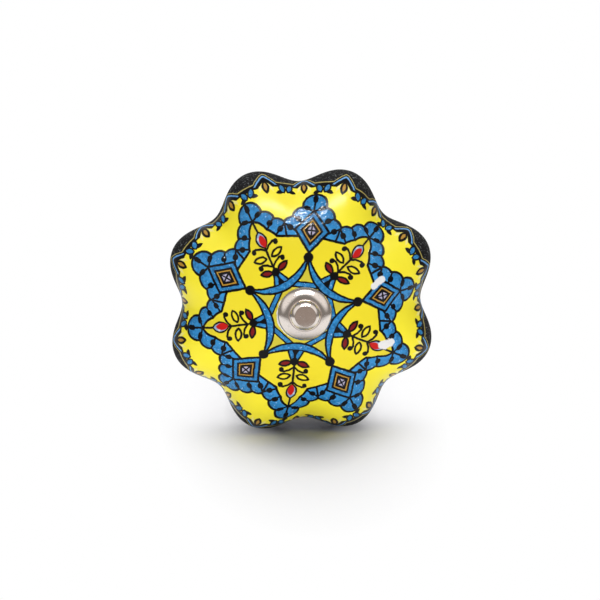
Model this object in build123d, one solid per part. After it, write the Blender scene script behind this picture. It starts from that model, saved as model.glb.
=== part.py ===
"""Cabinet knob: a glazed ceramic flower of eight lobes, clamped on an M4 stud by a metal cap and a nut.

Millimetres. The knob is placed as it sits on an upright door: +Z up, the face towards -Y, the stud
through the door along +Y. The origin is on the stud's axis, in the plane where the collar meets the door.
Every piece is drawn standing on that plane, with its own +Z along the axis from the door to the face.
"""
from math import acos, cos, radians, sin, sqrt, tan, tau
import os

from build123d import *

# Ceramic body
lobe_count = 8
lobe_radius = 22.5  # to the crest of a lobe, at the widest section
scallop_depth = 3.1  # from crest to valley at the widest section
dome_fade = 1  # the scallops fade evenly over the dome, down to a plain circle at the cap
back_fade = 2  # and faster over the back, down to a plain circle at the collar
lobe_fullness = 0.05  # above 0 the lobes are broader and the valleys narrower than a plain wave
body_back = 12.4  # from the collar's seat to the widest section
body_dome = 12.0  # from the widest section to the top of the full dome
neck_radius = 9.6  # flat ring that sits on the collar
neck_flare = 5.0  # how straight the neck leaves the collar
shoulder_round = 7.5  # how far the back stays wide behind the widest section
body_bore = 2.5  # radius of the hole through the body

# Front cap
cap_radius = 4.3
cap_edge = 0.4  # straight edge that stands on the glaze
cap_shoulder_radius = 2.65  # where the lower dome ends at the step
cap_shoulder_height = 1.55
cap_step = 0.2  # width and height of the step
cap_top_radius = 1.7  # flat on top
cap_height = 2.7
cap_bulge = 0.24  # how far the lower tier swells past the straight line between its ends
cap_tip_bulge = 0.1  # and the upper tier
cap_thread_depth = 1.9
seat_margin = 0.25  # the cap overlaps the flat ground for it by this much

# Stud, nut and washer: M4 coarse
thread_radius = 2.0
pitch_radius = 1.77  # stud where a thread is screwed on to it, and the plain shank between
thread_clearance = 0.05
stud_free_length = 32.0  # behind the door plane
tip_chamfer = 0.5
nut_across_flats = 7.0
nut_height = 3.2
nut_chamfer_angle = 30
washer_radius = 4.5
washer_bore = 2.15
washer_thickness = 0.8
nut_recess = 0.6  # the nut stays this far inside the door plane

# Base collar: a pressed cup, open to the door
collar_wall = 1.2
collar_rim_radius = 10.6
collar_lip = 0.8  # the rim stands out from the skirt by this much
collar_lip_height = 1.0
collar_front_radius = 9.0
collar_corner = 1.6  # bend radius outside, at the front
collar_inner_corner = 0.8
collar_bore = 2.25

# Sections of the ceramic body
points_per_lobe = 6
back_sections = 6
dome_sections = 7

# Heights above the door plane
collar_height = nut_recess + nut_height + washer_thickness + collar_wall
washer_back = nut_recess + nut_height
widest_height = collar_height + body_back
front_seat_radius = cap_radius - seat_margin
dome_end = acos(front_seat_radius / lobe_radius)  # ellipse angle where the ground flat starts
front_seat_height = widest_height + body_dome * sin(dome_end)


def lobed_section(crest, inner, height, power):
    """One slice of the body: the lobes fade out from the widest section to a plain circle at the seat."""
    fade = (crest - inner) / (lobe_radius - inner)
    depth = scallop_depth * fade**power
    count = lobe_count * points_per_lobe
    ring = []
    for i in range(count):
        angle = tau * (i / count)
        wave = lobe_count * angle
        swell = (1 - cos(wave)) / 2 + lobe_fullness * (1 - cos(2 * wave)) / 2  # 0 in a valley, 1 on a crest
        radius = crest - depth * (1 - swell)
        ring.append((radius * cos(angle), radius * sin(angle), height))
    return Face(Wire([Spline(*ring, periodic=True)]))


def ceramic_body():
    """Lofted through slices of two profile lines: an S-curve for the back and an ellipse for the dome."""
    back = Bezier(
        (neck_radius, collar_height),
        (neck_radius, collar_height + neck_flare),
        (lobe_radius, widest_height - shoulder_round),
        (lobe_radius, widest_height),
    )
    slices = []
    for i in range(back_sections):
        point = back @ (i / back_sections)
        slices.append(lobed_section(point.X, neck_radius, point.Y, back_fade))
    for i in range(dome_sections + 1):
        angle = dome_end * (i / dome_sections)
        crest = lobe_radius * cos(angle)
        height = widest_height + body_dome * sin(angle)
        slices.append(lobed_section(crest, front_seat_radius, height, dome_fade))
    body = loft(slices)
    hole = Pos(0, 0, collar_height) * Cylinder(
        body_bore, front_seat_height - collar_height, align=(Align.CENTER, Align.CENTER, Align.MIN)
    )
    return body - hole


def turned(outline):
    """A piece turned from its half outline, drawn with X as the radius and Z along the axis."""
    return revolve(make_face(Plane.XZ * outline), Axis.Z)


def swollen(start, end, bulge):
    """An arc from start to end that stands out from their straight line."""
    middle = (Vector(start) + Vector(end)) / 2
    out = (Vector(end) - Vector(start)).normalized().rotate(Axis.Z, -90)
    return ThreePointArc(start, middle + out * bulge, end)


def front_cap():
    """Domed cap in two tiers with a flat top, tapped from behind."""
    bore = pitch_radius + thread_clearance
    edge_top = (cap_radius, cap_edge)
    shoulder = (cap_shoulder_radius, cap_shoulder_height)
    step_foot = (cap_shoulder_radius - cap_step, cap_shoulder_height)
    step_top = (cap_shoulder_radius - cap_step, cap_shoulder_height + cap_step)
    top = (cap_top_radius, cap_height)
    outline = Curve() + [
        Polyline((0, cap_thread_depth), (bore, cap_thread_depth), (bore, 0), (cap_radius, 0), edge_top),
        swollen(edge_top, shoulder, cap_bulge),
        Polyline(shoulder, step_foot, step_top),
        swollen(step_top, top, cap_tip_bulge),
        Polyline(top, (0, cap_height), (0, cap_thread_depth)),
    ]
    return Pos(0, 0, front_seat_height) * turned(outline)


def threaded_stud():
    """Plain shank inside the knob, full thread radius from behind the nut to the chamfered tip."""
    front = front_seat_height + cap_thread_depth - thread_clearance
    shoulder = nut_recess - (thread_radius - pitch_radius)
    outline = Polyline(
        (0, -stud_free_length),
        (thread_radius - tip_chamfer, -stud_free_length),
        (thread_radius, tip_chamfer - stud_free_length),
        (thread_radius, shoulder),
        (pitch_radius, nut_recess),
        (pitch_radius, front),
        (0, front),
        close=True,
    )
    return turned(outline)


def base_collar():
    """Pressed cup: a flat web against the ceramic, a skirt that opens towards the door, and a lip."""
    skirt_foot = collar_rim_radius - collar_lip
    outside = Polyline(
        (collar_bore, collar_height),
        (collar_front_radius, collar_height),
        (skirt_foot, collar_lip_height),
        (collar_rim_radius, collar_lip_height),
        (collar_rim_radius, 0),
        (skirt_foot - collar_wall, 0),
        (collar_front_radius - collar_wall, collar_height - collar_wall),
        (collar_bore, collar_height - collar_wall),
        close=True,
    )
    cup = turned(outside)
    bends = cup.edges().filter_by(GeomType.CIRCLE)
    front_edge = bends.filter_by(lambda e: abs(e.radius - collar_front_radius) < 1e-6)
    inner_edge = bends.filter_by(lambda e: abs(e.radius - (collar_front_radius - collar_wall)) < 1e-6)
    return fillet(inner_edge, collar_inner_corner).fillet(collar_corner, front_edge)


def flat_washer():
    """Plain washer under the nut."""
    ring = Circle(washer_radius) - Circle(washer_bore)
    return Pos(0, 0, washer_back) * extrude(ring, washer_thickness)


def hex_nut():
    """Hexagon with both faces chamfered to the round of its flats, and a plain bore for the thread."""
    corner = nut_across_flats / sqrt(3)
    flat = nut_across_flats / 2
    cut = (corner - flat) * tan(radians(nut_chamfer_angle))
    prism = extrude(RegularPolygon(corner, 6), nut_height)
    envelope = turned(
        Polyline(
            (0, 0),
            (flat, 0),
            (corner, cut),
            (corner, nut_height - cut),
            (flat, nut_height),
            (0, nut_height),
            close=True,
        )
    )
    bore = Cylinder(pitch_radius + thread_clearance, 3 * nut_height)
    return Pos(0, 0, nut_recess) * ((prism & envelope) - bore)


pieces = {
    "ceramic_body": ceramic_body(),
    "front_cap": front_cap(),
    "threaded_stud": threaded_stud(),
    "base_collar": base_collar(),
    "flat_washer": flat_washer(),
    "hex_nut": hex_nut(),
}

os.makedirs("parts", exist_ok=True)
for name, piece in pieces.items():
    placed = Plane.XZ.location * piece  # the axis turns to face -Y
    export_step(placed, f"parts/{name}.step")
    box = placed.bounding_box()
    print(f"{name}: {placed.volume:.1f} mm3, y {box.min.Y:.2f} to {box.max.Y:.2f}, x {box.size.X:.2f}")
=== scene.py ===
# %% [markdown]
# # A lobed ceramic cabinet knob
# The knob is a glazed ceramic flower of eight lobes with a fired print on its face. A nickel cap holds it
# on a threaded stud, and a nickel collar keeps it off the door. The CAD part fixes every size; this lesson
# dresses it: smooth glaze with the print drawn in shader nodes, turned metal, and a real thread.

import math

import bmesh
import bpy
import numpy as np
from mathutils import Matrix, Vector


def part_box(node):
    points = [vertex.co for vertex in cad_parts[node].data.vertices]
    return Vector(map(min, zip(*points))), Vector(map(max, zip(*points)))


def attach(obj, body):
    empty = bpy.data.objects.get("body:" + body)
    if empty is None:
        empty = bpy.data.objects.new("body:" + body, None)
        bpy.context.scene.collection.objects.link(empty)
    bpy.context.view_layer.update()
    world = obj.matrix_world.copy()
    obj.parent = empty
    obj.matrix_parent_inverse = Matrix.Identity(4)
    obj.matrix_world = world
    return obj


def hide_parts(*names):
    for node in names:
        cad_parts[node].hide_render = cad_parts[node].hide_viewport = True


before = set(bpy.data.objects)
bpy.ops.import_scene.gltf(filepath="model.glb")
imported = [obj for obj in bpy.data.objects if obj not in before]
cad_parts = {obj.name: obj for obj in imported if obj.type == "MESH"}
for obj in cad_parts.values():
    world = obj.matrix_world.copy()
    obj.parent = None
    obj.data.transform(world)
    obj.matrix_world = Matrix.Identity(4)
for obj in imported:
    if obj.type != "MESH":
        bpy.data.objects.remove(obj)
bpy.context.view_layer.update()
MM = 0.001
print("CAD nodes:", sorted(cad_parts))

# %% [markdown]
# ## Shader maths as Python expressions
# Every finish below is a formula, and a formula of forty nodes is hard to read as links. So one small class
# wraps a socket: adding two of them adds a Math node. Points and colours have their own methods, because a
# Math node would flatten them to a single grey value.


# %% A socket that can be added, multiplied and mixed
class Field:
    """One output socket in a node tree."""

    def __init__(self, tree, socket=None):
        self.tree, self.socket = tree, socket

    def node(self, kind, settings=None, values=None, output=0):
        """Any node: its type, its settings, then values or links by socket name or number."""
        made = self.tree.nodes.new(kind)
        for name, value in (settings or {}).items():
            setattr(made, name, value)
        for name, value in (values or {}).items():
            if isinstance(value, Field):
                self.tree.links.new(value.socket, made.inputs[name])
            else:
                made.inputs[name].default_value = value
        return Field(self.tree, made.outputs[output] if made.outputs else None)

    def also(self, *names):
        """Outputs of this field's own node, by name."""
        return [Field(self.tree, self.socket.node.outputs[name]) for name in names]

    def math(self, operation, *others, clamp=False):
        values = dict(enumerate((self, *others)))
        return self.node("ShaderNodeMath", {"operation": operation, "use_clamp": clamp}, values)

    def vector(self, operation, *others, output=0):
        values = dict(enumerate((self, *others)))
        return self.node("ShaderNodeVectorMath", {"operation": operation}, values, output)

    def __add__(self, other):
        return self.math("ADD", other)

    def __sub__(self, other):
        return self.math("SUBTRACT", other)

    def __rsub__(self, other):
        return self.math("MULTIPLY_ADD", -1.0, other)

    def __mul__(self, other):
        return self.math("MULTIPLY", other)

    __radd__, __rmul__ = __add__, __mul__

    def __neg__(self):
        return self.math("MULTIPLY", -1.0)

    def __abs__(self):
        return self.math("ABSOLUTE")

    def low(self, other):
        return self.math("MINIMUM", other)

    def high(self, other):
        return self.math("MAXIMUM", other)

    def contrast(self, gain, shift):
        """This value times the gain plus the shift, kept between 0 and 1."""
        return self.math("MULTIPLY_ADD", gain, shift, clamp=True)

    def inside(self, width=0.07):
        """1 where a distance in millimetres is below zero, 0 above, soft over the width."""
        return self.contrast(-1.0 / width, 0.5)

    def rise(self, start, end, way="LINEAR"):
        """0 up to the start and 1 from the end on, with a straight or another way between them."""
        return self.node("ShaderNodeMapRange", {"interpolation_type": way}, {0: self, 1: start, 2: end})

    def between(self, first, second):
        """The first colour where this value is 0, the second where it is 1, and a mixture between."""
        return self.node("ShaderNodeMix", {"data_type": "RGBA"}, {0: self, 6: first, 7: second}, output=2)

    def paint(self, colour, mask):
        """This colour with another one laid over it where the mask is 1."""
        return mask.between(self, colour)

    def noise(self, scale, detail, output=0):
        """Noise over these points: a value around 0.5, or a colour by that name."""
        values = {"Vector": self, "Scale": scale, "Detail": detail}
        return self.node("ShaderNodeTexNoise", None, values, output)


print("shader maths ready")


# %% Start and end a material
def srgb(red, green, blue):
    """A colour as it looks on screen, 0 to 255, turned into the linear values that a shader takes."""
    levels = [c / 255 for c in (red, green, blue)]
    return tuple(c / 12.92 if c <= 0.04045 else ((c + 0.055) / 1.055) ** 2.4 for c in levels) + (1.0,)


def new_material(name):
    """An empty material, and a Field to start its nodes from."""
    material = bpy.data.materials.new(name)
    material.use_nodes = True
    material.node_tree.nodes.clear()
    return material, Field(material.node_tree)


def show(surface):
    """Makes a shader the surface of its material."""
    surface.node("ShaderNodeOutputMaterial", None, {"Surface": surface})


print("mid grey on screen is", round(srgb(128, 128, 128)[0], 3), "in a shader")

# %% [markdown]
# ## The ceramic body
# The real body is slip-cast and glazed, so nothing on it is sharp. Its shape is a wave of eight lobes that
# fades out towards the cap and the collar. Subdividing a coarse cage would only come near that wave, so the
# mesh follows the same formula as the CAD solid, point by point. It also carries a flat map, so that its
# finish can be baked on to an image.


# %% Sizes of the body in millimetres, with heights from the door towards the face
def span(node):
    """The heights, to 0.01 mm, at which a CAD node begins and ends along the stud."""
    low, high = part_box(node)
    return round(-high.y / MM, 2), round(-low.y / MM, 2)


LOBES = 8
LOBE_RADIUS = 22.5
SCALLOP = 3.1  # how far a valley lies inside a crest at the widest section
FULLNESS = 0.05  # fills out the flanks of a lobe, beyond a plain wave
NECK_RADIUS = 9.6
BORE = 2.5
COLLAR_TOP = span("ceramic_body")[0]
WIDEST = 18.2
DOME = 12.0  # how far the dome would stand out in front of the widest section without its hole
SEAT_RADIUS = 4.05
BACK_PULL, NECK_PULL = 7.5, 5.0  # how far the back's curve follows the stud at its two ends
ROUND_FOOT = 0.35
DOME_END = math.acos(SEAT_RADIUS / LOBE_RADIUS)
SEAT_HEIGHT = WIDEST + DOME * math.sin(DOME_END)
print("body from", COLLAR_TOP, "to", round(SEAT_HEIGHT, 2), "mm; the CAD body has", span("ceramic_body"))


# %% Rings that follow the wave
def lobe_ring(crest, depth, height, angles):
    """One closed ring of points around the stud, as x, y, z in millimetres."""
    wave = LOBES * angles
    swell = (1 - np.cos(wave)) / 2 + FULLNESS * (1 - np.cos(2 * wave)) / 2
    radius = crest - depth * (1 - swell)
    return np.stack([radius * np.cos(angles), np.full_like(angles, -height), radius * np.sin(angles)], 1)


def body_profile(dome_rings=72, back_rings=45, foot_rings=6):
    """Rings from the front of the hole, over the dome and down the back: crest radius, depth, height."""
    rows = [(BORE, 0, SEAT_HEIGHT)]
    for t in np.linspace(DOME_END, 0, dome_rings):
        crest = LOBE_RADIUS * math.cos(t)
        fade = (crest - SEAT_RADIUS) / (LOBE_RADIUS - SEAT_RADIUS)
        rows.append((crest, SCALLOP * fade, WIDEST + DOME * math.sin(t)))
    controls = np.array([(LOBE_RADIUS, WIDEST), (LOBE_RADIUS, WIDEST - BACK_PULL),
                         (NECK_RADIUS, COLLAR_TOP + NECK_PULL), (NECK_RADIUS, COLLAR_TOP)])
    for u in np.linspace(0, 1, back_rings)[1:-1]:
        weights = np.array([(1 - u) ** 3, 3 * u * (1 - u) ** 2, 3 * u * u * (1 - u), u**3])
        crest, height = weights @ controls
        fade = (crest - NECK_RADIUS) / (LOBE_RADIUS - NECK_RADIUS)
        if height > COLLAR_TOP + ROUND_FOOT:
            rows.append((crest, SCALLOP * fade**2, height))
    for turn in np.linspace(0, math.pi / 2, foot_rings):
        inset = ROUND_FOOT * (1 - math.cos(turn))
        rows.append((NECK_RADIUS - inset, 0, COLLAR_TOP + ROUND_FOOT * (1 - math.sin(turn))))
    rows.append((BORE, 0, COLLAR_TOP))
    return rows


print("the body's profile has", len(body_profile()), "rings")


# %% Mesh of the body, with a flat map: discs for the face and the back, and a strip for the hole
FACE_DISC, BACK_DISC = ((0.365, 0.365), 0.355), ((0.86, 0.86), 0.13)  # middle and radius on the map
STRIP_LEFT, STRIP_FOOT, STRIP_LENGTH, STRIP_HEIGHT = 0.77, 0.03, 0.21, 0.15
FACE_DEPTH = 4.0  # the face's disc reaches this far behind the widest section


def mesh_object(name, points, faces):
    """A smooth mesh object from points in millimetres."""
    mesh = bpy.data.meshes.new(name)
    mesh.from_pydata([tuple(p) for p in np.asarray(points) * MM], [], faces)
    mesh.validate()
    mesh.shade_smooth()
    thing = bpy.data.objects.new(name, mesh)
    bpy.context.scene.collection.objects.link(thing)
    return thing


def on_disc(disc_map, share, turn):
    """A place on a disc of the map, by its share of the radius and its turn around the middle."""
    (x, y), radius = disc_map
    return x + radius * share * math.cos(turn * math.tau), y + radius * share * math.sin(turn * math.tau)


def ceramic_flower(around=512):
    """The whole body as one closed skin of rings."""
    rows = body_profile()
    angles = np.linspace(0, math.tau, around, endpoint=False)
    rings = np.array([lobe_ring(*row, angles) for row in rows])
    steps = [math.hypot(b[0] - a[0], b[2] - a[2]) for a, b in zip(rows, rows[1:])]
    from_front = BORE + np.concatenate([[0], np.cumsum(steps)])
    from_back = BORE + from_front[-1] - from_front
    face_end = next(i for i, row in enumerate(rows) if row[2] < WIDEST - FACE_DEPTH)
    faces, flat = [], []
    for i in range(len(rows)):
        j = (i + 1) % len(rows)
        for k in range(around):
            n = (k + 1) % around
            faces.append((i * around + k, j * around + k, j * around + n, i * around + n))
            here, there = k / around, (k + 1) / around
            for ring, turn in ((i, here), (j, here), (j, there), (i, there)):
                if j == 0:
                    flat.append((STRIP_LEFT + STRIP_LENGTH * turn, STRIP_FOOT + STRIP_HEIGHT * (ring == 0)))
                elif i < face_end:
                    flat.append(on_disc(FACE_DISC, from_front[ring] / from_front[face_end], turn))
                else:
                    flat.append(on_disc(BACK_DISC, from_back[ring] / from_back[face_end], turn))
    flower = mesh_object("ceramic_flower", rings.reshape(-1, 3), faces)
    layer = flower.data.uv_layers.new(name="OFBake")
    layer.data.foreach_set("uv", np.array(flat, np.float32).ravel())
    return flower


body = ceramic_flower()
body_low, body_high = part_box("ceramic_body")
print("ceramic_flower:", len(body.data.polygons), "faces")
print("height of the CAD body", round((body_high.z - body_low.z) / MM, 2), "mm,",
      "of the mesh", round(body.dimensions.z / MM, 2), "mm")

# %% [markdown]
# ## The fired print
# The pattern is a paper transfer that was slid over the dome and fired: a star of ten points, five sprigs,
# five diamonds and a border of arches, in yellow, blue, black, red and gold. It could be painted on an image,
# but drawn as distances to circles and lines it stays sharp at any size. A point of the dome is first
# unrolled on to the flat transfer, keeping its straight distance from the dome's top. Then the angle is
# folded, so that one sprig, one tip or one arch is drawn once and appears all around. Every coordinate in
# the drawing is in millimetres: along the axis of a fold from the middle of the print, then to its side.

# %% Unroll the dome on to the flat transfer
PRINT_SHIFT = (0.40, 0.15)  # the transfer sits a little off the stud's axis
WOBBLE, TREMBLE = 0.16, 0.12  # how far the drawn lines stray in slow and in quick waves
VALLEY_PULL = 0.65  # between the lobes the rim of the transfer is drawn in by this much
PULL_FROM, PULL_TO = 14.0, 20.0  # the pull sets in between these distances from the middle
TWIST, TWIST_FROM = 0.0022, 9.0  # the star is twisted by this angle for each millimetre further out
glaze, start = new_material("glazed_ceramic_print")
stray = -(WOBBLE + TREMBLE) / 2  # noise lies around 0.5, so half of each wave is taken off first
place = start.node("ShaderNodeTexCoord", output="Object")
place = place.vector("MULTIPLY_ADD", (1 / MM,) * 3, (stray, WIDEST + DOME, stray))
for sway, scale, detail in ((WOBBLE, 0.75, 1.5), (TREMBLE, 2.4, 1.0)):
    shake = place.noise(scale, detail, output="Color")
    place = shake.vector("MULTIPLY_ADD", (sway, 0.0, sway), place)
across, behind, up = place.node("ShaderNodeSeparateXYZ", None, {0: place}).also("X", "Y", "Z")
from_axis = (across * across + up * up + 1e-6).math("SQRT")
stretch = place.vector("LENGTH", output="Value").math("DIVIDE", from_axis)
flat_x = across * stretch + PRINT_SHIFT[0]
flat_y = up * stretch + PRINT_SHIFT[1]
reach = (flat_x * flat_x + flat_y * flat_y).math("SQRT")
valley = (up.math("ARCTAN2", across) * LOBES).math("COSINE") * 0.5 + 0.5
reach = reach + valley * reach.rise(PULL_FROM, PULL_TO) * VALLEY_PULL
heading = flat_y.math("ARCTAN2", flat_x)
star_heading = heading + (reach - TWIST_FROM) * TWIST
print("unrolled with", len(start.tree.nodes), "nodes")


# %% Fold the angle, and measure distances in the fold
def folded(angle, repeats, turn):
    """Angle from the nearest of the repeated axes, in radians."""
    half = math.pi / repeats
    return (angle - turn).math("WRAP", half, -half)


def in_fold(angle):
    """How far a place lies along the axis of its fold, and to the side of it."""
    return reach * angle.math("COSINE"), reach * angle.math("SINE")


def point(x, y):
    return x.node("ShaderNodeCombineXYZ", None, {0: x, 1: y})


def disc(spot, x, y, radius):
    """Distance outside a circle."""
    return spot.vector("DISTANCE", (x, y, 0.0), output="Value") - radius


def stroke(spot, a, b, half):
    """Distance outside a straight brush stroke from a to b."""
    run = (b[0] - a[0], b[1] - a[1])
    square = run[0] ** 2 + run[1] ** 2
    from_a = spot.vector("SUBTRACT", (*a, 0.0))
    share = from_a.vector("DOT_PRODUCT", (run[0] / square, run[1] / square, 0.0), output="Value")
    share = share.node("ShaderNodeClamp", None, {0: share})
    nearest = share.vector("MULTIPLY_ADD", (-run[0], -run[1], 0.0), from_a)
    return nearest.vector("LENGTH", output="Value") - half


def leaf(spot, a, b, half):
    """Distance outside a pointed leaf from a to b: where two circles cross."""
    length = math.dist(a, b) / 2
    bend = (length**2 + half**2) / (2 * half)
    middle = ((a[0] + b[0]) / 2, (a[1] + b[1]) / 2)
    side = (-(b[1] - a[1]) / (2 * length), (b[0] - a[0]) / (2 * length))
    away = bend - half
    one = disc(spot, middle[0] + side[0] * away, middle[1] + side[1] * away, bend)
    return one.high(disc(spot, middle[0] - side[0] * away, middle[1] - side[1] * away, bend))


def below_line(spot, a, b):
    """Signed distance to the line through a and b, negative on the side of the middle of the print."""
    run = (b[0] - a[0], b[1] - a[1])
    size = math.hypot(*run)
    normal = (run[1] / size, -run[0] / size)
    if normal[0] * a[0] + normal[1] * a[1] < 0:
        normal = (-normal[0], -normal[1])
    return spot.vector("DOT_PRODUCT", (*normal, 0.0), output="Value") - (normal[0] * a[0] + normal[1] * a[1])


def together(shapes):
    """Distance outside all the shapes at once."""
    joined, *others = shapes
    for shape in others:
        joined = joined.low(shape)
    return joined


print("drawing tools ready")

# %% Colours of the print, and the pen
YELLOW, DEEP_YELLOW = srgb(253, 241, 60), srgb(250, 232, 52)
CELL_YELLOW, MUSTARD = srgb(238, 219, 46), srgb(208, 194, 58)
SKY, OCEAN, PALE_BLUE = srgb(57, 147, 211), srgb(29, 97, 150), srgb(140, 170, 208)
ARCH_BLUE, BLUE_SPECK = srgb(104, 164, 222), srgb(150, 195, 235)
INK, SPECK = srgb(5, 5, 8), srgb(140, 146, 146)
RED, WINE = srgb(196, 24, 20), srgb(126, 20, 22)
GOLD, PALE_GOLD, LILAC = srgb(188, 142, 52), srgb(186, 172, 96), srgb(178, 172, 198)
BARE_GLAZE, STRAW = srgb(230, 229, 229), srgb(244, 236, 150)
PEN = 0.2  # half the width of an ink line


def outlined(coat, shape, colour, outward=PEN, inward=PEN):
    """A shape in one colour, with ink that reaches so far outward and inward from its edge."""
    coat = coat.paint(INK, (shape - outward).inside())
    return coat.paint(colour, (shape + inward).inside())


print("an ink line is", 2 * PEN, "mm wide")

# %% [markdown]
# ## The star
# Ten blue tips with scalloped edges lie around the middle, each divided by thin black lines with a bead on
# them. Half of one tip is drawn, because folding the angle and taking its size mirrors it for the rest. On
# the real knob the blue is thin and speckled where it was fired, so noise mixes a light and a dark blue.

# %% Ten tips: three scallops to each side, filled in down to a slanted line
STAR_TURN = math.radians(82.4)
SCALLOPS = [((18.0, 0.0), 2.0), ((15.72, 1.6), 1.82), ((13.95, 3.1), 1.62)]  # middle and radius
tip_x, tip_side = in_fold(folded(star_heading, 10, STAR_TURN))
tip = point(tip_x, abs(tip_side))
edge = together(disc(tip, *middle, radius) for middle, radius in SCALLOPS)
edge = edge.low(below_line(tip, (20.0, 0.0), (14.1, 4.65)))
cloud = place.noise(scale=0.22, detail=2.0)
coat = cloud.between(YELLOW, DEEP_YELLOW).paint(INK, (edge - PEN).inside())
print("tips drawn,", len(start.tree.nodes), "nodes so far")

# %% The blue: patchy and specked, and clearer away from the edge
blue = place.noise(scale=2.2, detail=4.0).contrast(2.4, -0.7).between(OCEAN, SKY)
fleck = place.noise(scale=3.2, detail=2.0)
pale_specks = fleck.contrast(20.0, -13.0)
blue = blue.paint(BLUE_SPECK, pale_specks)
star_blue = (edge + PEN).inside()
coat = coat.paint(blue, star_blue)
coat = coat.paint(SKY, edge.contrast(-0.6, -0.3) * star_blue * (1 - pale_specks))
print("blue laid,", len(start.tree.nodes), "nodes so far")

# %% Lines between the scallops, with a bead on each: from, to, and half the width
TIP_STROKES = [
    ((16.7, 0.0), (19.95, 0.0), 0.18),
    ((18.8, 0.0), (19.4, 0.0), 0.41),
    ((16.9, 0.1), (17.5, 2.1), 0.17),
    ((17.32, 1.05), (17.45, 1.45), 0.41),
    ((14.55, 1.6), (15.65, 3.3), 0.17),
    ((15.2, 2.36), (15.26, 2.46), 0.48),
    ((13.05, 2.4), (14.15, 4.6), 0.17),
    ((13.58, 3.5), (13.66, 3.62), 0.47),
    ((14.15, 4.6), (12.2, 3.96), 0.18),
]
coat = coat.paint(INK, together(stroke(tip, *line) for line in TIP_STROKES).inside())
print("star drawn,", len(start.tree.nodes), "nodes so far")

# %% [markdown]
# ## Cells, diamonds and crescents
# Between the tips lie five yellow cells, and between those five diamonds, each in a frame of blue, black and
# gold. Five blue crescents and a blue ring close the pattern around the cap. A diamond could be four lines;
# adding up the shares of its two half diagonals gives all of its nested frames from one number.

# %% Five yellow cells, one behind each sprig, duller along the middle
sprig_x, sprig_side = in_fold(folded(star_heading, 5, STAR_TURN + math.pi / 5))
cell = point(sprig_x, abs(sprig_side))
room = disc(cell, 14.15, -1.33, 2.93).low(disc(cell, 11.59, -1.71, 4.46))
room = room.low(below_line(cell, (12.85, 2.55), (11.35, 5.35)))
dull = stroke(cell, (10.6, 0.0), (16.0, 0.0), 0.9).inside(2.4) * 0.6
coat = outlined(coat, room, dull.between(CELL_YELLOW, MUSTARD))
star_blue = star_blue * (1 - (room + PEN).inside())
print("cells drawn,", len(start.tree.nodes), "nodes so far")

# %% Five diamonds in frames, on the axes between the sprigs
DIAMOND_AT, DIAMOND_LONG, DIAMOND_WIDE = 13.42, 3.55, 2.75  # the middle, then half of each diagonal
SLOPE = round(DIAMOND_LONG * DIAMOND_WIDE / math.hypot(DIAMOND_LONG, DIAMOND_WIDE), 2)  # from a share to mm
FRAMES = ((0.69, INK), (0.53, GOLD), (0.445, INK), (0.26, LILAC))
dot_x, dot_side = in_fold(folded(star_heading, 5, STAR_TURN))
dot_y = abs(dot_side)
from_middle = abs(dot_x - DIAMOND_AT)
share = from_middle * (1 / DIAMOND_LONG) + dot_y * (1 / DIAMOND_WIDE)
coat = outlined(coat, (share - 1.0) * SLOPE, blue)
for limit, colour in FRAMES:
    coat = coat.paint(colour, ((share - limit) * SLOPE).inside())
cross = from_middle.low(dot_y * 1.3) - 0.15
coat = coat.paint(INK, cross.inside() * ((share - 0.3) * SLOPE).inside())
print("diamonds drawn,", len(start.tree.nodes), "nodes so far")

# %% Ring and five crescents around the cap, with a knot where two crescents meet
RING_AT, RING_INK, RING_BLUE = 4.78, 0.52, 0.28  # its distance from the middle, then half its widths
ring = abs(dot_x - RING_AT)
wedges = (dot_x - 7.4).inside() * (dot_y - 0.8).inside()
# The mustard that fills the gap between the cap and the ring is painted shade around the cap; the narrow
# mustard strips on the diamonds' axes are print.
coat = coat.paint(MUSTARD, wedges.high((dot_x - 4.6).inside()))
coat = coat.paint(INK, (ring - RING_INK).inside())
coat = coat.paint(blue, (ring - RING_BLUE).inside())
crescent = disc(cell, 11.36, 0.0, 6.66).high(-disc(cell, 15.87, 0.0, 9.87))
coat = outlined(coat, crescent, blue, outward=0.13)
coat = coat.paint(INK, disc(point(dot_x, dot_y), 9.13, 0.0, 0.8).inside())
print("crescents drawn,", len(start.tree.nodes), "nodes so far")

# %% [markdown]
# ## Sprigs
# In each cell a sprig grows outwards: a knot with two wine-red leaves, a stem with open leaves and curled
# tendrils, and a red bud at its end. Strokes make the stem, and a leaf is where two circles cross, which
# gives it the two sharp ends of a brush mark.

# %% Five sprigs, each a little off its cell's axis as the real ones are
SPRIG_LEAN = 0.38
lean = (heading - STAR_TURN).math("COSINE") * sprig_x.contrast(-0.2, 2.56)
twig_side = sprig_side - lean * SPRIG_LEAN
twig = point(sprig_x, abs(twig_side))
past_crescent = (-crescent).inside()
fan = stroke(twig, (7.7, 0.1), (6.15, 0.78), 0.36)
coat = coat.paint(INK, (fan - PEN).inside() * past_crescent)
coat = coat.paint(blue, (fan + 0.1).inside() * past_crescent)
print("feet of the sprigs drawn,", len(start.tree.nodes), "nodes so far")

# %% Knot, stem and tendrils: from, to, and half the width
TWIGS = [
    ((7.75, 0.0), (8.1, 0.0), 0.55),
    ((8.0, 0.0), (12.2, 0.0), 0.19),
    ((14.8, 0.0), (16.8, 0.0), 0.18),
    ((7.4, 0.0), (6.2, 0.0), 0.2),
]
for foot in (8.95, 11.7):
    TWIGS += [
        ((foot, 0.1), (foot + 0.55, 0.75), 0.18),
        ((foot + 0.55, 0.75), (foot + 0.85, 1.5), 0.18),
        ((foot + 0.85, 1.5), (foot + 0.8, 1.9), 0.2),
        ((foot + 0.5, 1.98), (foot + 0.62, 1.98), 0.4),
    ]
coat = coat.paint(INK, together(stroke(twig, *line) for line in TWIGS).inside())
print("stems drawn,", len(start.tree.nodes), "nodes so far")

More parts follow.
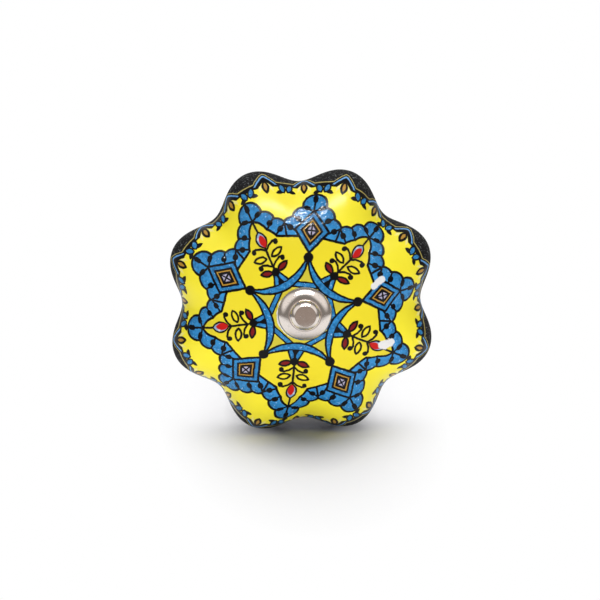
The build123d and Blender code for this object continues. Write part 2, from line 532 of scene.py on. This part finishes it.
# %% Leaves and buds, whose outlines lie inside their edges
red_leaf = leaf(twig, (7.95, 0.25), (8.72, 2.62), 0.62)
coat = outlined(coat, red_leaf, WINE, 0.0, 0.34)
open_leaf = leaf(twig, (10.4, 0.3), (11.0, 2.72), 0.66).low(disc(twig, 10.66, 1.12, 0.55))
coat = outlined(coat, open_leaf, CELL_YELLOW, 0.0, 0.36)
bud = leaf(twig, (11.95, 0.0), (15.0, 0.0), 0.94)
coat = outlined(coat, bud, PALE_BLUE, 0.0, 0.29)
petal = point(sprig_x, twig_side)
coat = coat.paint(BARE_GLAZE, disc(petal, 13.75, 0.36, 0.2).inside(0.3))
red_petal = leaf(petal, (12.15, -0.08), (14.3, -0.12), 0.56).low(disc(petal, 13.1, -0.1, 0.5))
coat = coat.paint(RED, red_petal.inside(0.14))
print("sprigs drawn,", len(start.tree.nodes), "nodes so far")

# %% [markdown]
# ## Border
# Twenty pointed arches run around the rim: a blue line and a fine gold one on black, a gold leaf under each
# point, and a pair of small blue hooks in every gap. An arch is a distance from the middle that falls off to
# both sides of its axis, so the lines along it are found with one subtraction.

# %% Arches: black rim, straw tint, gold line and blue line
ARCHES = 20
BORDER_TURN, BORDER_RADIUS = math.radians(69.0), 21.5
ARCH_TOP, ARCH_FALL, ARCH_ROUND = 24.0, 1.15, 0.05  # the point, how fast it falls off, how blunt it is
ACROSS_ARCH = 0.66  # from a step outwards to a step straight across the slanted line
arch_angle = abs(folded(heading, ARCHES, BORDER_TURN))
along = arch_angle * BORDER_RADIUS
arch_line = ARCH_TOP - (along * along + ARCH_ROUND).math("SQRT") * ARCH_FALL
arch = (reach - arch_line) * ACROSS_ARCH
coat = coat.paint(STRAW, (abs(arch + 0.98) - 0.22).high(along - 1.2).inside(0.3))
black_rim = (arch_line - 1.08).high(BORDER_RADIUS) - reach
coat = coat.paint(INK, black_rim.inside())
gold_line = abs(reach - (arch_line + 0.62).high(22.42)) * 0.75 - 0.068
coat = coat.paint(PALE_GOLD, gold_line.inside())
coat = coat.paint(ARCH_BLUE, (abs(arch) - 0.115).high(21.92 - reach).inside())
print("arches drawn,", len(start.tree.nodes), "nodes so far")

# %% Hooks in the gaps and gold leaves under the points
hook_spot = point((math.pi / ARCHES - arch_angle) * BORDER_RADIUS, reach)
hook = leaf(hook_spot, (1.0, 22.15), (0.28, 20.3), 0.64)
hook_foot = leaf(hook_spot, (0.2, 20.85), (1.8, 20.3), 0.4)
coat = coat.paint(INK, hook.low(hook_foot).inside())
coat = coat.paint(blue, (hook + 0.28).high(reach - 21.95).inside())
gold_spot = point(reach, along)
coat = coat.paint(INK, leaf(gold_spot, (20.3, 0.0), (22.8, 0.0), 0.66).inside())
coat = coat.paint(GOLD, leaf(gold_spot, (20.9, 0.0), (22.4, 0.0), 0.26).inside())
print("border drawn,", len(start.tree.nodes), "nodes so far")

# %% [markdown]
# ## Wear and gloss
# A fired print is never even. The black has pale specks and the yellow a few dark ones. Two small patches
# to the right of the cap are white, in the colour of bare glaze, and the bare white glaze shows on the back
# and around the hole, where the transfer ends. The blue is the glossiest part and slightly dimpled, so it
# sparkles, and the outer black is dull. A scratched image could say the same, but masks from the drawing
# put each gloss exactly where its colour is.

# %% Flecks: pale ones in the black, a few dark ones in the yellow
outer_black = (black_rim + 1.2).inside(0.4)
coat = coat.paint(SPECK, fleck.contrast(12.0, -7.1) * outer_black * 0.5)
coat = coat.paint(INK, fleck.contrast(-24.0, 4.9) * 0.85)
print("flecks added,", len(start.tree.nodes), "nodes so far")

# %% Bare glaze where the transfer ends, on the back and around the hole, and two small white patches
PRINT_END = DOME + 2.4  # how far behind the dome's top the print reaches
PRINT_HOLE = 4.08
# two small white patches to the right of the cap, painted in the colour of bare glaze
WHITE_PATCH_STROKES = [((11.2, 3.8), (12.55, 4.8), 0.5), ((12.5, -5.95), (13.75, -5.75), 0.75)]
ragged = place.noise(scale=0.9, detail=4.0) - 0.5
seen = point(across, up)
white_patches = (together(stroke(seen, *patch_stroke) for patch_stroke in WHITE_PATCH_STROKES) + ragged * 0.9).inside(0.15)
on_back = (PRINT_END - behind - ragged * 1.6).inside(0.12)
around_hole = (reach - PRINT_HOLE + ragged * 0.5).inside(0.1)
bare = white_patches.high(on_back).high(around_hole)
coat = coat.paint(BARE_GLAZE, bare)
print("bare glaze shown,", len(start.tree.nodes), "nodes so far")


# %% Gloss of the glaze, and a function that puts a finished piece in the place of its CAD node
def dress(piece, material, node):
    piece.data.materials.append(material)
    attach(piece, "root")
    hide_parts(node)
    print(piece.name, "stands for", node, "with", len(piece.data.polygons), "faces")


YELLOW_ROUGH, BLUE_ROUGH, BLACK_ROUGH = 0.28, 0.06, 0.73
blue_print = star_blue.high((crescent + PEN).inside())
rough = YELLOW_ROUGH - blue_print * (YELLOW_ROUGH - BLUE_ROUGH)
rough = rough + outer_black * (1 - bare) * (BLACK_ROUGH - YELLOW_ROUGH)
wave = place.noise(scale=0.3, detail=2.0)
dimple = place.noise(scale=2.4, detail=0.0)
grain = wave * 1.5 + dimple * blue_print * 1.2
bump = grain.node("ShaderNodeBump", None, {"Strength": 1.0, "Distance": 0.05 * MM, "Height": grain})
gloss = {"Base Color": coat, "Roughness": rough, "Normal": bump, "IOR": 1.28}
show(start.node("ShaderNodeBsdfPrincipled", None, gloss))
dress(body, glaze, "ceramic_body")
print("glaze finished with", len(start.tree.nodes), "nodes")

# %% [markdown]
# ## Turned metal
# The cap and the collar are turned or pressed from sheet and plated with nickel; the washer is stamped. A
# turned piece is one outline spun around the stud. A screw modifier would do that too, but spinning the
# points in Python keeps each face's place known. Real edges are never knife sharp, so each corner of the
# outline is rounded before it is spun, and that thin round catches the light.


# %% Round and swell an outline
def unit(vector):
    return vector / np.linalg.norm(vector)


def rounded(outline, radii, steps=5):
    """The outline with its corners rounded: radii gives the radius by corner number."""
    path = []
    for i, corner in enumerate(outline):
        radius = radii.get(i, 0)
        if not radius:
            path.append(corner)
            continue
        here = np.array(corner, float)
        to_before = unit(np.array(outline[i - 1], float) - here)
        to_after = unit(np.array(outline[(i + 1) % len(outline)], float) - here)
        half = math.acos(max(-1, min(1, float(to_before @ to_after)))) / 2
        cut = radius / math.tan(half)
        middle = here + unit(to_before + to_after) * radius / math.sin(half)
        first, last = here + to_before * cut - middle, here + to_after * cut - middle
        sweep = math.acos(max(-1, min(1, float(first @ last) / radius**2)))
        for k in range(steps + 1):
            a, b = math.sin(sweep * (1 - k / steps)), math.sin(sweep * k / steps)
            path.append(tuple(middle + (first * a + last * b) / math.sin(sweep)))
    return path


def swollen(a, b, bulge, steps=8):
    """Points of a shallow curve from a to b that stands out from their straight line to its right."""
    a, b = np.array(a, float), np.array(b, float)
    out = unit(np.array([(b - a)[1], -(b - a)[0]]))
    return [tuple(a + (b - a) * t + out * bulge * 4 * t * (1 - t)) for t in np.linspace(0, 1, steps + 1)]


print("outline tools ready")


# %% Spin an outline
def clean_shell(piece, sharp, close=False):
    """Turns all faces outwards and keeps edges above the angle sharp. Close first joins and caps a grid."""
    shell = bmesh.new()
    shell.from_mesh(piece.data)
    if close:
        bmesh.ops.remove_doubles(shell, verts=shell.verts, dist=0.001 * MM)
        bmesh.ops.holes_fill(shell, edges=[e for e in shell.edges if e.is_boundary], sides=0)
    bmesh.ops.recalc_face_normals(shell, faces=shell.faces)
    shell.to_mesh(piece.data)
    shell.free()
    piece.data.set_sharp_from_angle(angle=math.radians(sharp))
    return piece


def spun(name, outline, around=128):
    """A closed outline of radius and height, spun around the stud."""
    angles = np.linspace(0, math.tau, around, endpoint=False)
    points, rings = [], []
    for radius, height in outline:
        if radius < 1e-6:
            rings.append([len(points)] * around)
            points.append((0, -height, 0))
            continue
        rings.append(list(range(len(points), len(points) + around)))
        points += [(radius * math.cos(a), -height, radius * math.sin(a)) for a in angles]
    faces = []
    for i, ring in enumerate(rings):
        after = rings[(i + 1) % len(rings)]
        for k in range(around):
            n = (k + 1) % around
            face = list(dict.fromkeys((ring[k], ring[n], after[n], after[k])))
            if len(face) > 2:
                faces.append(face)
    return clean_shell(mesh_object(name, points, faces), sharp=40)


print("spinning tool ready")

# %% [markdown]
# ## Nickel and zinc
# The cap is bright nickel, a little pitted; the collar is duller and shows the rings of its spinning; the
# stud, the washer and the nut are zinc plated. One even grey would look like plastic, so noise makes the
# gloss uneven, darkens small pits and dents them, all in one function with a few settings for each metal.


# %% Plated metals
TARNISH, PIT_BOTTOM = (0.30, 0.26, 0.22, 1), (0.22, 0.19, 0.16, 1)
GROOVES = 55.0  # turning marks, in radians for each millimetre


def plated(name, colour, smooth, pits, spin=0.0):
    """Plated metal: slightly uneven gloss, small pits, and turning marks where spin is above 0."""
    material, begin = new_material(name)
    spot = begin.node("ShaderNodeTexCoord", output="Object").vector("MULTIPLY", (1 / MM,) * 3)
    haze = spot.noise(scale=0.8, detail=4.0)
    pit = spot.noise(scale=3.2, detail=3.0).contrast(6.0, -3.7)
    tinted = haze.contrast(0.22, 0.87).between(TARNISH, colour).paint(PIT_BOTTOM, pit * pits)
    height = haze * 0.5 - pit
    if spin:
        x, y, z = spot.node("ShaderNodeSeparateXYZ", None, {0: spot}).also("X", "Y", "Z")
        outward = (x * x + z * z).math("SQRT") + y * 0.7
        height = height + (outward * GROOVES).math("SINE") * spin
    dent = height.node("ShaderNodeBump", None, {"Strength": 0.25, "Distance": 0.02 * MM, "Height": height})
    rough = smooth + haze * 0.14 + pit * 0.2
    shine = {"Base Color": tinted, "Roughness": rough, "Normal": dent, "Metallic": 1.0}
    show(begin.node("ShaderNodeBsdfPrincipled", None, shine))
    return material


nickel = plated("nickel_plate", (0.82, 0.75, 0.70, 1), 0.06, 0.4)
dull_nickel = plated("spun_nickel_plate", (0.72, 0.68, 0.63, 1), 0.16, 0.2, spin=0.5)
zinc = plated("zinc_plate", (0.70, 0.71, 0.70, 1), 0.2, 0.3)
print("metals:", nickel.name, dull_nickel.name, zinc.name)


# %% Cap: two swollen tiers with a flat top, on a blind hole for the stud
def cap_outline():
    """The cap's section: radius, and height from the door."""
    rim, skirt, front = 4.3, 0.4, 2.7
    hole, hole_end = 1.82, 1.9
    step_edge, step_foot, upper_edge, upper_foot, flat_top = 2.65, 1.55, 2.45, 1.75, 1.7
    lower = swollen((rim, skirt), (step_edge, step_foot), 0.24)
    upper = swollen((upper_edge, upper_foot), (flat_top, front), 0.1)
    inner = [(0, hole_end), (hole, hole_end), (hole, 0), (rim, 0)]
    outline = [*inner, *lower, (upper_edge, step_foot), *upper, (0, front)]
    step = len(inner) + len(lower)
    # the radius of each rounded corner, by its number in the outline
    corners = {3: 0.08, 4: 0.14, step - 1: 0.09, step: 0.06, step + 1: 0.08, step + len(upper): 0.14}
    return [(r, h + SEAT_HEIGHT) for r, h in rounded(outline, corners)]


dress(spun("nickel_cap_turned", cap_outline(), 160), nickel, "front_cap")

# %% Collar and washer: radius and height of each corner, and the radius of the rounded ones
WASHER_BACK, WASHER_FRONT = span("flat_washer")
COLLAR = [(2.25, COLLAR_TOP), (9.0, COLLAR_TOP), (9.8, 1.0), (10.6, 1.0), (10.6, 0.0), (8.6, 0.0),
          (7.8, WASHER_FRONT), (2.25, WASHER_FRONT)]
COLLAR_ROUNDS = {1: 1.6, 2: 0.4, 3: 0.3, 4: 0.3, 5: 0.15, 6: 0.8}
collar = spun("nickel_collar_pressed", rounded(COLLAR, COLLAR_ROUNDS, 8), 144)
dress(collar, dull_nickel, "base_collar")
WASHER = [(2.15, WASHER_BACK), (4.5, WASHER_BACK), (4.5, WASHER_FRONT), (2.15, WASHER_FRONT)]
washer = spun("zinc_washer_stamped", rounded(WASHER, {0: 0.08, 1: 0.15, 2: 0.15, 3: 0.08}), 96)
dress(washer, zinc, "flat_washer")

# %% [markdown]
# ## The threaded stud
# The stud's thread is rolled: a 60 degree ridge that climbs 0.7 mm each turn. The CAD solid keeps a plain
# cylinder of the thread's outer size. A screw modifier could spin the ridge, but a grid whose rows already
# climb with the turn keeps the crest on an edge of the mesh, so it stays crisp with few faces.


# %% Wind the thread behind the nut, with a plain shank in front of it
THREAD_CREST, THREAD_ROOT, TIP_RADIUS, SHANK_RADIUS = 2.0, 1.6, 1.5, 1.77
STUD_BACK, STUD_FRONT = span("threaded_stud")
THREAD_END = 0.35


def rolled_stud(pitch=0.7, per_turn=10, around=48):
    """The threaded length, as a grid whose rows climb by one pitch in a turn."""
    points, faces = [], []
    rows = int((THREAD_END - STUD_BACK) / pitch * per_turn) + per_turn + 1
    for row in range(rows):
        lift = STUD_BACK - pitch + row * pitch / per_turn
        wave = abs((row % per_turn) / per_turn - 0.5) * 2
        ridge = THREAD_ROOT + (THREAD_CREST - THREAD_ROOT) * min(1, max(0, wave * 1.35 - 0.15))
        for k in range(around):
            turn = math.tau * k / around
            height = min(THREAD_END, max(STUD_BACK, lift + pitch * k / around))
            radius = min(ridge, TIP_RADIUS + height - STUD_BACK, SHANK_RADIUS + (THREAD_END - height) * 0.8)
            points.append((radius * math.cos(turn), -height, radius * math.sin(turn)))
    for row in range(rows - 1):
        for k in range(around):
            n = (k + 1) % around
            climb = per_turn if n == 0 else 0
            low, high = row + climb, row + 1 + climb
            if high < rows:
                faces.append((row * around + k, low * around + n, high * around + n, (row + 1) * around + k))
    return clean_shell(mesh_object("zinc_stud_rolled", points, faces), sharp=35, close=True)


stud = rolled_stud()
SHANK = [(0, 0.3), (SHANK_RADIUS - 0.05, 0.3), (SHANK_RADIUS, 0.4), (SHANK_RADIUS, STUD_FRONT - 0.1),
         (SHANK_RADIUS - 0.1, STUD_FRONT), (0, STUD_FRONT)]
shank = spun("zinc_stud_shank", SHANK, 64)
dress(stud, zinc, "threaded_stud")
shank.data.materials.append(zinc)
shank.parent = stud

# %% Zinc on the nut, whose CAD shape is already right
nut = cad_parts["hex_nut"]
nut.data.materials.clear()
nut.data.materials.append(zinc)
print("hex_nut keeps its CAD mesh of", len(nut.data.polygons), "faces")

# %% [markdown]
# ## The sheet of paper
# The knob stands on white paper that fades to pure white a few centimetres away, with a soft grey shadow
# close by that the lamps cast and that is also painted on. A plain white plane would turn grey wherever the
# lamps grow weak. So the sheet is paper near the knob, with painted shade that is darker and bluish there,
# and a painted shadow that is darkest right under the knob. Further away it shines white to the camera and
# in mirrored rays alone.

# %% Paper that keeps the cast shadow close by, adds painted shade there, and is plain white further away, in metres
# Painted shade: near the knob the paper is darker and bluish, a tint against the yellow glow that the face
# throws on it. Right under the knob a painted shadow is darker still.
LIT_PAPER, PAINTED_SHADE_PAPER = (0.87, 0.87, 0.895, 1), (0.40, 0.415, 0.52, 1)  # bluish against the yellow's glow
PAINTED_SHADOW_UNDER_KNOB, DARK_EDGE = (0.20, 0.195, 0.19, 1), (0.25, 0.23, 0.215, 1)
WHITE = (1, 1, 1, 1)
sheet, begin = new_material("white_paper")
is_camera, is_glossy = begin.node("ShaderNodeLightPath").also("Is Camera Ray", "Is Glossy Ray")
on_paper = begin.node("ShaderNodeNewGeometry")
oval = on_paper.vector("MULTIPLY_ADD", (3.8, 1.15, 0.0), (0.0, 0.0084, 0.0))
whiter = oval.vector("LENGTH", output="Value").rise(0.022, 0.091)
# where the painted shadow right under the knob begins, behind the front of the face
painted_shadow_zone = on_paper.vector("DOT_PRODUCT", (0, 1, 0), output="Value").rise(-0.022, -0.012)
paper = painted_shadow_zone.between(PAINTED_SHADE_PAPER, PAINTED_SHADOW_UNDER_KNOB).paint(LIT_PAPER, whiter * 2.5)
far = on_paper.vector("LENGTH", output="Value").rise(0.07, 0.125, "SMOOTHSTEP")
shining = (far * is_glossy).between(WHITE, DARK_EDGE)
matt = begin.node("ShaderNodeBsdfPrincipled", None, {"Base Color": paper, "Roughness": 0.7})
white = begin.node("ShaderNodeEmission", None, {"Color": shining, "Strength": 1.0})
share_white = whiter * is_camera.high(is_glossy)
show(begin.node("ShaderNodeMixShader", None, {0: share_white, 1: matt, 2: white}))
print("paper finished with", len(begin.tree.nodes), "nodes")

# %% Lay the sheet under the lowest point of the lobes
SHEET_FRONT, SHEET_SIDE, SHEET_BACK = -105, 100, 85  # its edges, in millimetres from the stud's foot
corners = [(-SHEET_SIDE, SHEET_FRONT, 0), (SHEET_SIDE, SHEET_FRONT, 0),
           (SHEET_SIDE, SHEET_BACK, 0), (-SHEET_SIDE, SHEET_BACK, 0)]
floor = mesh_object("floor", corners, [(0, 1, 2, 3)])
floor.location.z = body_low.z
floor.data.materials.append(sheet)
print("floor at", round(floor.location.z / MM, 2), "mm")

# %% [markdown]
# ## Room and lamps
# Metal and glaze show the room around them, so the room matters as much as the lamps. An even white world
# would make the cap look flat. This room is dim, with a glow around the lamp above, a pale wall at each
# side, a warm patch low in front that the cap's flat top mirrors, and a white backdrop. Lamps are split in
# two kinds: two that show in the gloss alone, and three that only light the surfaces, so that the pale
# bands on the glaze and the brightness of the print can be set one by one.

# %% The room, as a colour for each direction
SOFT_BOX_PLACE = (0.02, -0.30, 0.51)
DIM, GLOW, DIM_IN_GLOSS = (0.13, 0.124, 0.118, 1), (0.34, 0.33, 0.32, 1), (0.24, 0.225, 0.21, 1)
PALE_WALL, WARM_PATCH = (0.95, 0.92, 0.89, 1), (0.36, 0.30, 0.265, 1)
BACKDROP_SHARE = 0.45  # the backdrop stands further from the lamps than the sheet does
world = bpy.data.worlds.new("dim_room")
bpy.context.scene.world = world
world.use_nodes = True
world.node_tree.nodes.clear()
sky = Field(world.node_tree)
direction = sky.node("ShaderNodeTexCoord", output="Generated")


def near(way, start, end):
    """1 near a direction, 0 away from it: start and end are the cosines between which it rises."""
    cosine = direction.vector("DOT_PRODUCT", tuple(Vector(way).normalized()), output="Value")
    return cosine.rise(start, end, "SMOOTHSTEP")


is_camera, is_glossy, is_clear = sky.node("ShaderNodeLightPath").also(
    "Is Camera Ray", "Is Glossy Ray", "Is Transmission Ray")
glow = near(SOFT_BOX_PLACE, 0.65, 0.95)
room_light = glow.between(DIM, GLOW).paint(DIM_IN_GLOSS, is_glossy * (1 - glow))
walls = near((0.72, -0.45, 0.5), 0.76, 0.96).high(near((-0.72, -0.45, 0.5), 0.76, 0.96))
room_light = room_light.paint(PALE_WALL, walls * is_glossy)
room_light = room_light.paint(WARM_PATCH, near((0.04, -0.98, -0.19), 0.94, 0.985))
backdrop = near((0, 1, -0.15), 0.5, 0.8) * BACKDROP_SHARE
room_light = room_light.paint(WHITE, is_camera.high(is_glossy.high(is_clear) * backdrop))
lit = sky.node("ShaderNodeBackground", None, {"Color": room_light, "Strength": 1.0})
sky.node("ShaderNodeOutputWorld", None, {"Surface": lit})
print("room made of", len(world.node_tree.nodes), "nodes")


# %% Lamps: place, aim, size in metres, and power in watts
def lamp(name, place, aim, size, power, diffuse=True, glossy=True):
    light = bpy.data.lights.new(name, "AREA")
    light.shape, light.size, light.size_y = "RECTANGLE", size[0], size[1]
    light.energy = power
    thing = bpy.data.objects.new(name, light)
    thing.location = place
    thing.rotation_euler = (Vector(aim) - Vector(place)).to_track_quat("-Z", "Y").to_euler()
    thing.visible_camera, thing.visible_diffuse, thing.visible_glossy = False, diffuse, glossy
    bpy.context.scene.collection.objects.link(thing)


FACE = Vector((0, -0.026, 0))
lamp("soft_box", SOFT_BOX_PLACE, FACE, (0.48, 0.42), 1.0, diffuse=False)
lamp("tube", (0.035, -0.258, 0.528), FACE, (0.50, 0.035), 5.0, diffuse=False)
lamp("overhead", (0.0, 0.34, 0.58), (0, 0.34, 0), (0.85, 0.85), 5.8, glossy=False)
lamp("front_fill", (0.0, -0.75, 0.03), FACE, (1.20, 0.14), 4.75, glossy=False)
lamp("back_fill", (0.0, 0.75, 0.20), FACE, (0.50, 0.30), 1.5, glossy=False)

# %% [markdown]
# ## Camera
# The camera has a long lens, stands a little to the left of the knob's axis and looks slightly down at the
# face. It could be turned by hand until the view fits, but written as angles around the knob each number
# can be corrected by itself. A small shift to the side sets the knob where it belongs in the picture.

# %% Set up the camera
AIM, DISTANCE = Vector((0, -WIDEST * MM, 0)), 0.45
SIDE, RISE, ROLL = math.radians(-2.40), math.radians(10.82), math.radians(-1.08)
PIXELS_PER_MM = 6.14
SHIFT_RIGHT, SHIFT_UP = 1.32, 0.43  # how far the knob is moved in the picture, in pixels
toward = Vector((math.sin(SIDE) * math.cos(RISE), -math.cos(SIDE) * math.cos(RISE), math.sin(RISE)))
level = (-toward).cross(Vector((0, 0, 1))).normalized()
upright = level.cross(-toward)
right = level * math.cos(ROLL) + upright * math.sin(ROLL)
upward = upright * math.cos(ROLL) - level * math.sin(ROLL)
camera = bpy.data.objects.new("camera", bpy.data.cameras.new("camera"))
camera.data.sensor_width = 36.0
camera.data.lens = 165.8
shift = (right * SHIFT_RIGHT + upward * SHIFT_UP) * (MM / PIXELS_PER_MM)
turned = Matrix((right, upward, toward)).transposed().to_4x4()
camera.matrix_world = Matrix.Translation(AIM + toward * DISTANCE - shift) @ turned
bpy.context.scene.collection.objects.link(camera)
bpy.context.scene.camera = camera
bpy.context.scene.view_settings.view_transform = "Standard"
print("camera at", [round(c, 4) for c in camera.location])
